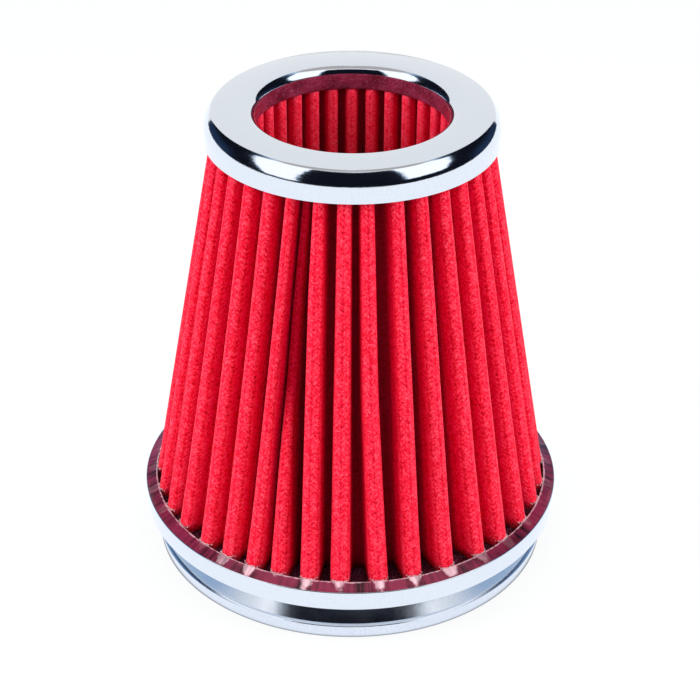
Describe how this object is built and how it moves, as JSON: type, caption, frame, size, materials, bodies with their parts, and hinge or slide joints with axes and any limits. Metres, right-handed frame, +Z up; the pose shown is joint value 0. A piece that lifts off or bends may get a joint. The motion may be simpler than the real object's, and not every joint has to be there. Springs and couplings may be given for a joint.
{
  "type": "cone air filter",
  "caption": "Open-topped cone air filter with red pleated cloth, a chromed ring at the top and a chromed base with a stepped foot and a rubber inlet.",
  "frame": {"origin": "middle of the face the filter stands on", "axes": "+Z up along the filter's axis from the base to the open top, -Y towards the side the picture shows"},
  "size_m": [0.152, 0.152, 0.1706],
  "materials": {
    "chromed_top": "polished",
    "sealing_compound": "satin",
    "filter_cloth": "matte",
    "well_cloth": "matte",
    "cage_steel": "satin",
    "cap_steel": "satin",
    "cap_compound": "satin",
    "chromed_base": "polished",
    "base_sealing_compound": "glossy",
    "chromed_foot": "polished",
    "black_rubber": "matte"
  },
  "bodies": {
    "root": {"top_ring": "chromed_top", "top_compound": "sealing_compound", "outer_pleats": "filter_cloth", "well_pleats": "well_cloth", "support_cage": "cage_steel", "well_cap": "cap_steel", "well_cap_compound": "cap_compound", "base_pan": "chromed_base", "base_compound": "base_sealing_compound", "foot_ring": "chromed_foot", "inlet_collar": "black_rubber"}
  },
  "joints": []
}
